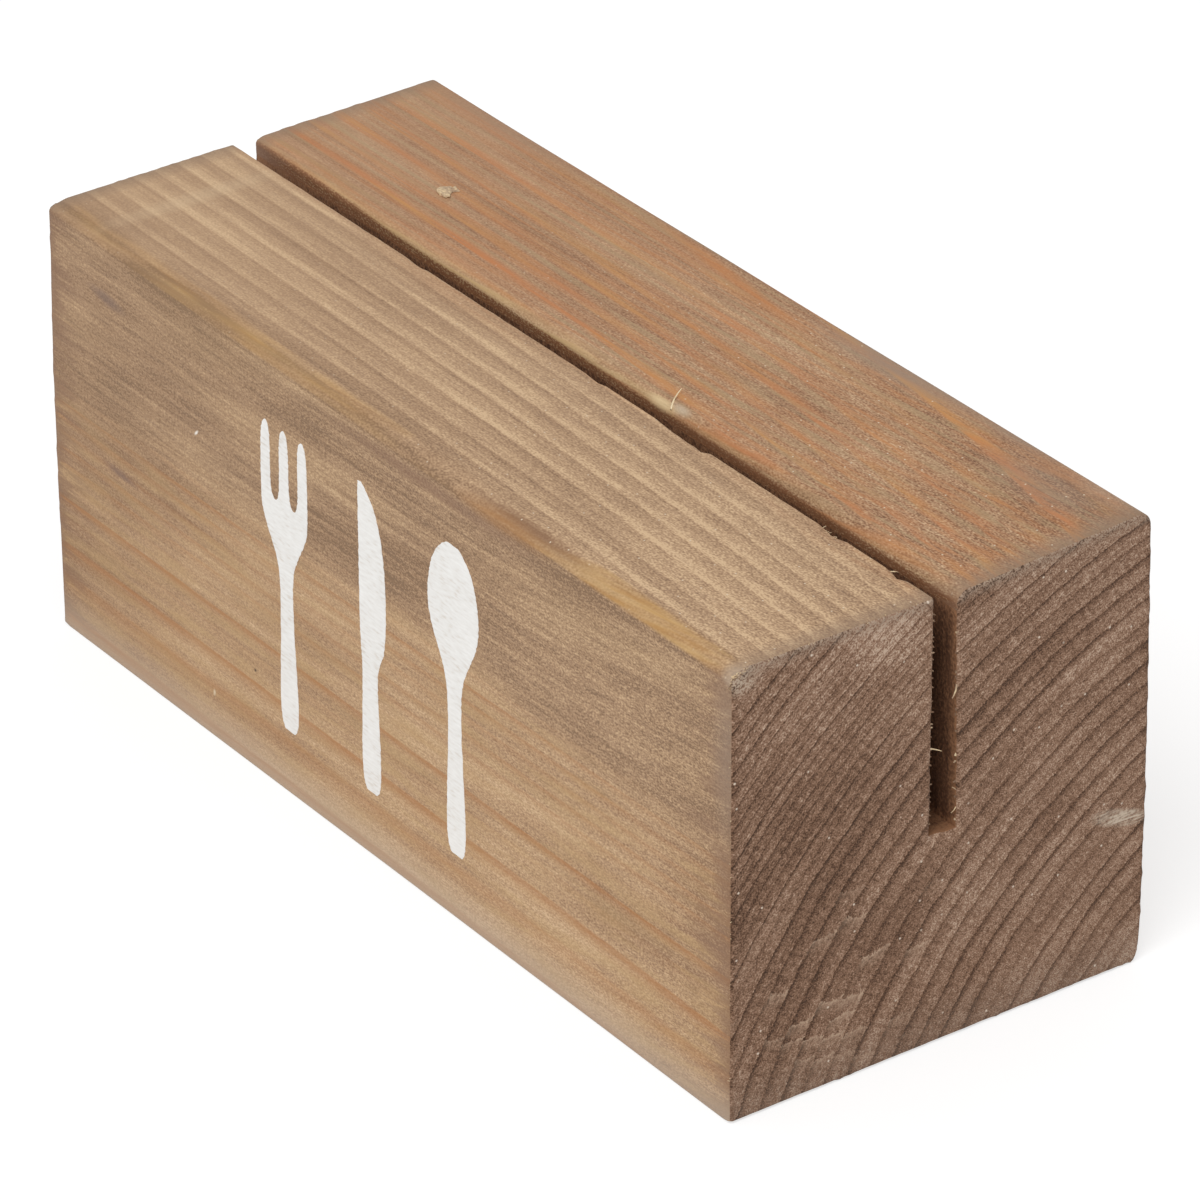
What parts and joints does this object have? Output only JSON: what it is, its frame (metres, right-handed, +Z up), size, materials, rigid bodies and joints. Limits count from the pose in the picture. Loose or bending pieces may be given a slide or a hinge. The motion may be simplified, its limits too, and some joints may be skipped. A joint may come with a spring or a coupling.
{
  "type": "table card holder",
  "caption": "Square block of brown-stained softwood with a narrow saw slot along its top that holds a menu or table card upright.",
  "frame": {"origin": "middle of the underside", "axes": "+X along the block and its slot, -Y out of the front face, +Z up"},
  "size_m": [0.1, 0.042, 0.0425],
  "materials": {
    "stained_softwood": "thin brown stain on planed softwood, dull"
  },
  "bodies": {
    "root": {"holder_block": "stained_softwood"}
  },
  "joints": []
}
